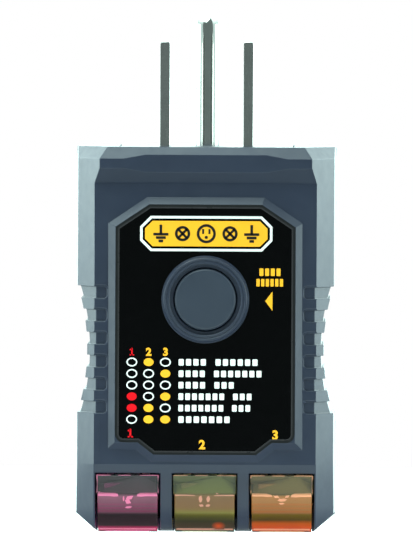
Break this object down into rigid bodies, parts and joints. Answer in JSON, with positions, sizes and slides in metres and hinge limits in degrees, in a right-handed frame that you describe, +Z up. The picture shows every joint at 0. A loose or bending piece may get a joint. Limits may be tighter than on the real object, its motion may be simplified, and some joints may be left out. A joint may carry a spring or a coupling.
{
  "type": "receptacle tester plug",
  "caption": "Plug-in outlet tester: waisted two-shell case with blades and a ground pin on top, a spring-back test button and tinted lamp lenses at its lower end.",
  "frame": {"origin": "middle of the overall footprint, on the plane that the lenses and the rear shell rest on", "axes": "+Z up along the prongs, away from the lamp end; -Y is the way the label and the button face; +X is to the right when reading the label"},
  "size_m": [0.0398, 0.0286, 0.0794],
  "materials": {
    "case_plastic": "slate grey moulded plastic, satin",
    "label_film": "black printed film, semi-gloss",
    "inner_plastic": "natural moulded plastic",
    "plated_blade": "nickel-plated brass, drawn finish",
    "plated_pin": "nickel-plated brass, bright",
    "brass_strip": "bare stamped brass",
    "button_plastic": "slate grey moulded plastic, satin",
    "spring_steel": "plain spring wire",
    "board": "glass-epoxy board with green mask",
    "blue_resistor": "lacquered resistor body",
    "tan_resistor": "lacquered resistor body",
    "red_lens": "clear magenta-red tinted plastic",
    "olive_amber_lens": "clear brown-amber tinted plastic",
    "orange_amber_lens": "clear orange-amber tinted plastic",
    "white_plastic": "white moulded plastic",
    "lamp_glass": "clear lamp glass",
    "lamp_wire": "nickel wire and sealed glass foot",
    "screw_steel": "zinc-plated steel"
  },
  "bodies": {
    "case": {"front_shell": "case_plastic", "rear_shell": "case_plastic", "prong_carrier": "case_plastic", "front_label": "label_film", "prong_retainer": "inner_plastic", "hot_blade": "plated_blade", "neutral_blade": "plated_blade", "ground_pin": "plated_pin", "ground_strap": "brass_strip", "switch_contacts": "brass_strip", "return_spring": "spring_steel", "switch_housing": "inner_plastic", "circuit_board": "board", "test_resistor": "blue_resistor", "lamp_resistor_1": "tan_resistor", "lamp_resistor_2": "tan_resistor", "lamp_resistor_3": "tan_resistor", "red_lens": "red_lens", "centre_amber_lens": "olive_amber_lens", "right_amber_lens": "orange_amber_lens", "lamp_baffle": "white_plastic", "red_neon_lamp": "lamp_glass", "centre_neon_lamp": "lamp_glass", "right_neon_lamp": "lamp_glass", "lamp_electrodes": "lamp_wire", "case_screws": "screw_steel"},
    "button": {"test_button": "button_plastic", "contact_bridge": "brass_strip"}
  },
  "joints": [
    {"name": "button_press", "type": "slide", "parent": "case", "child": "button", "axis": [0, 1, 0], "range_m": [0, 0.001], "stiffness_N_per_m": 1000, "springref_m": -0.001, "deforming": ["return_spring"]}
  ]
}
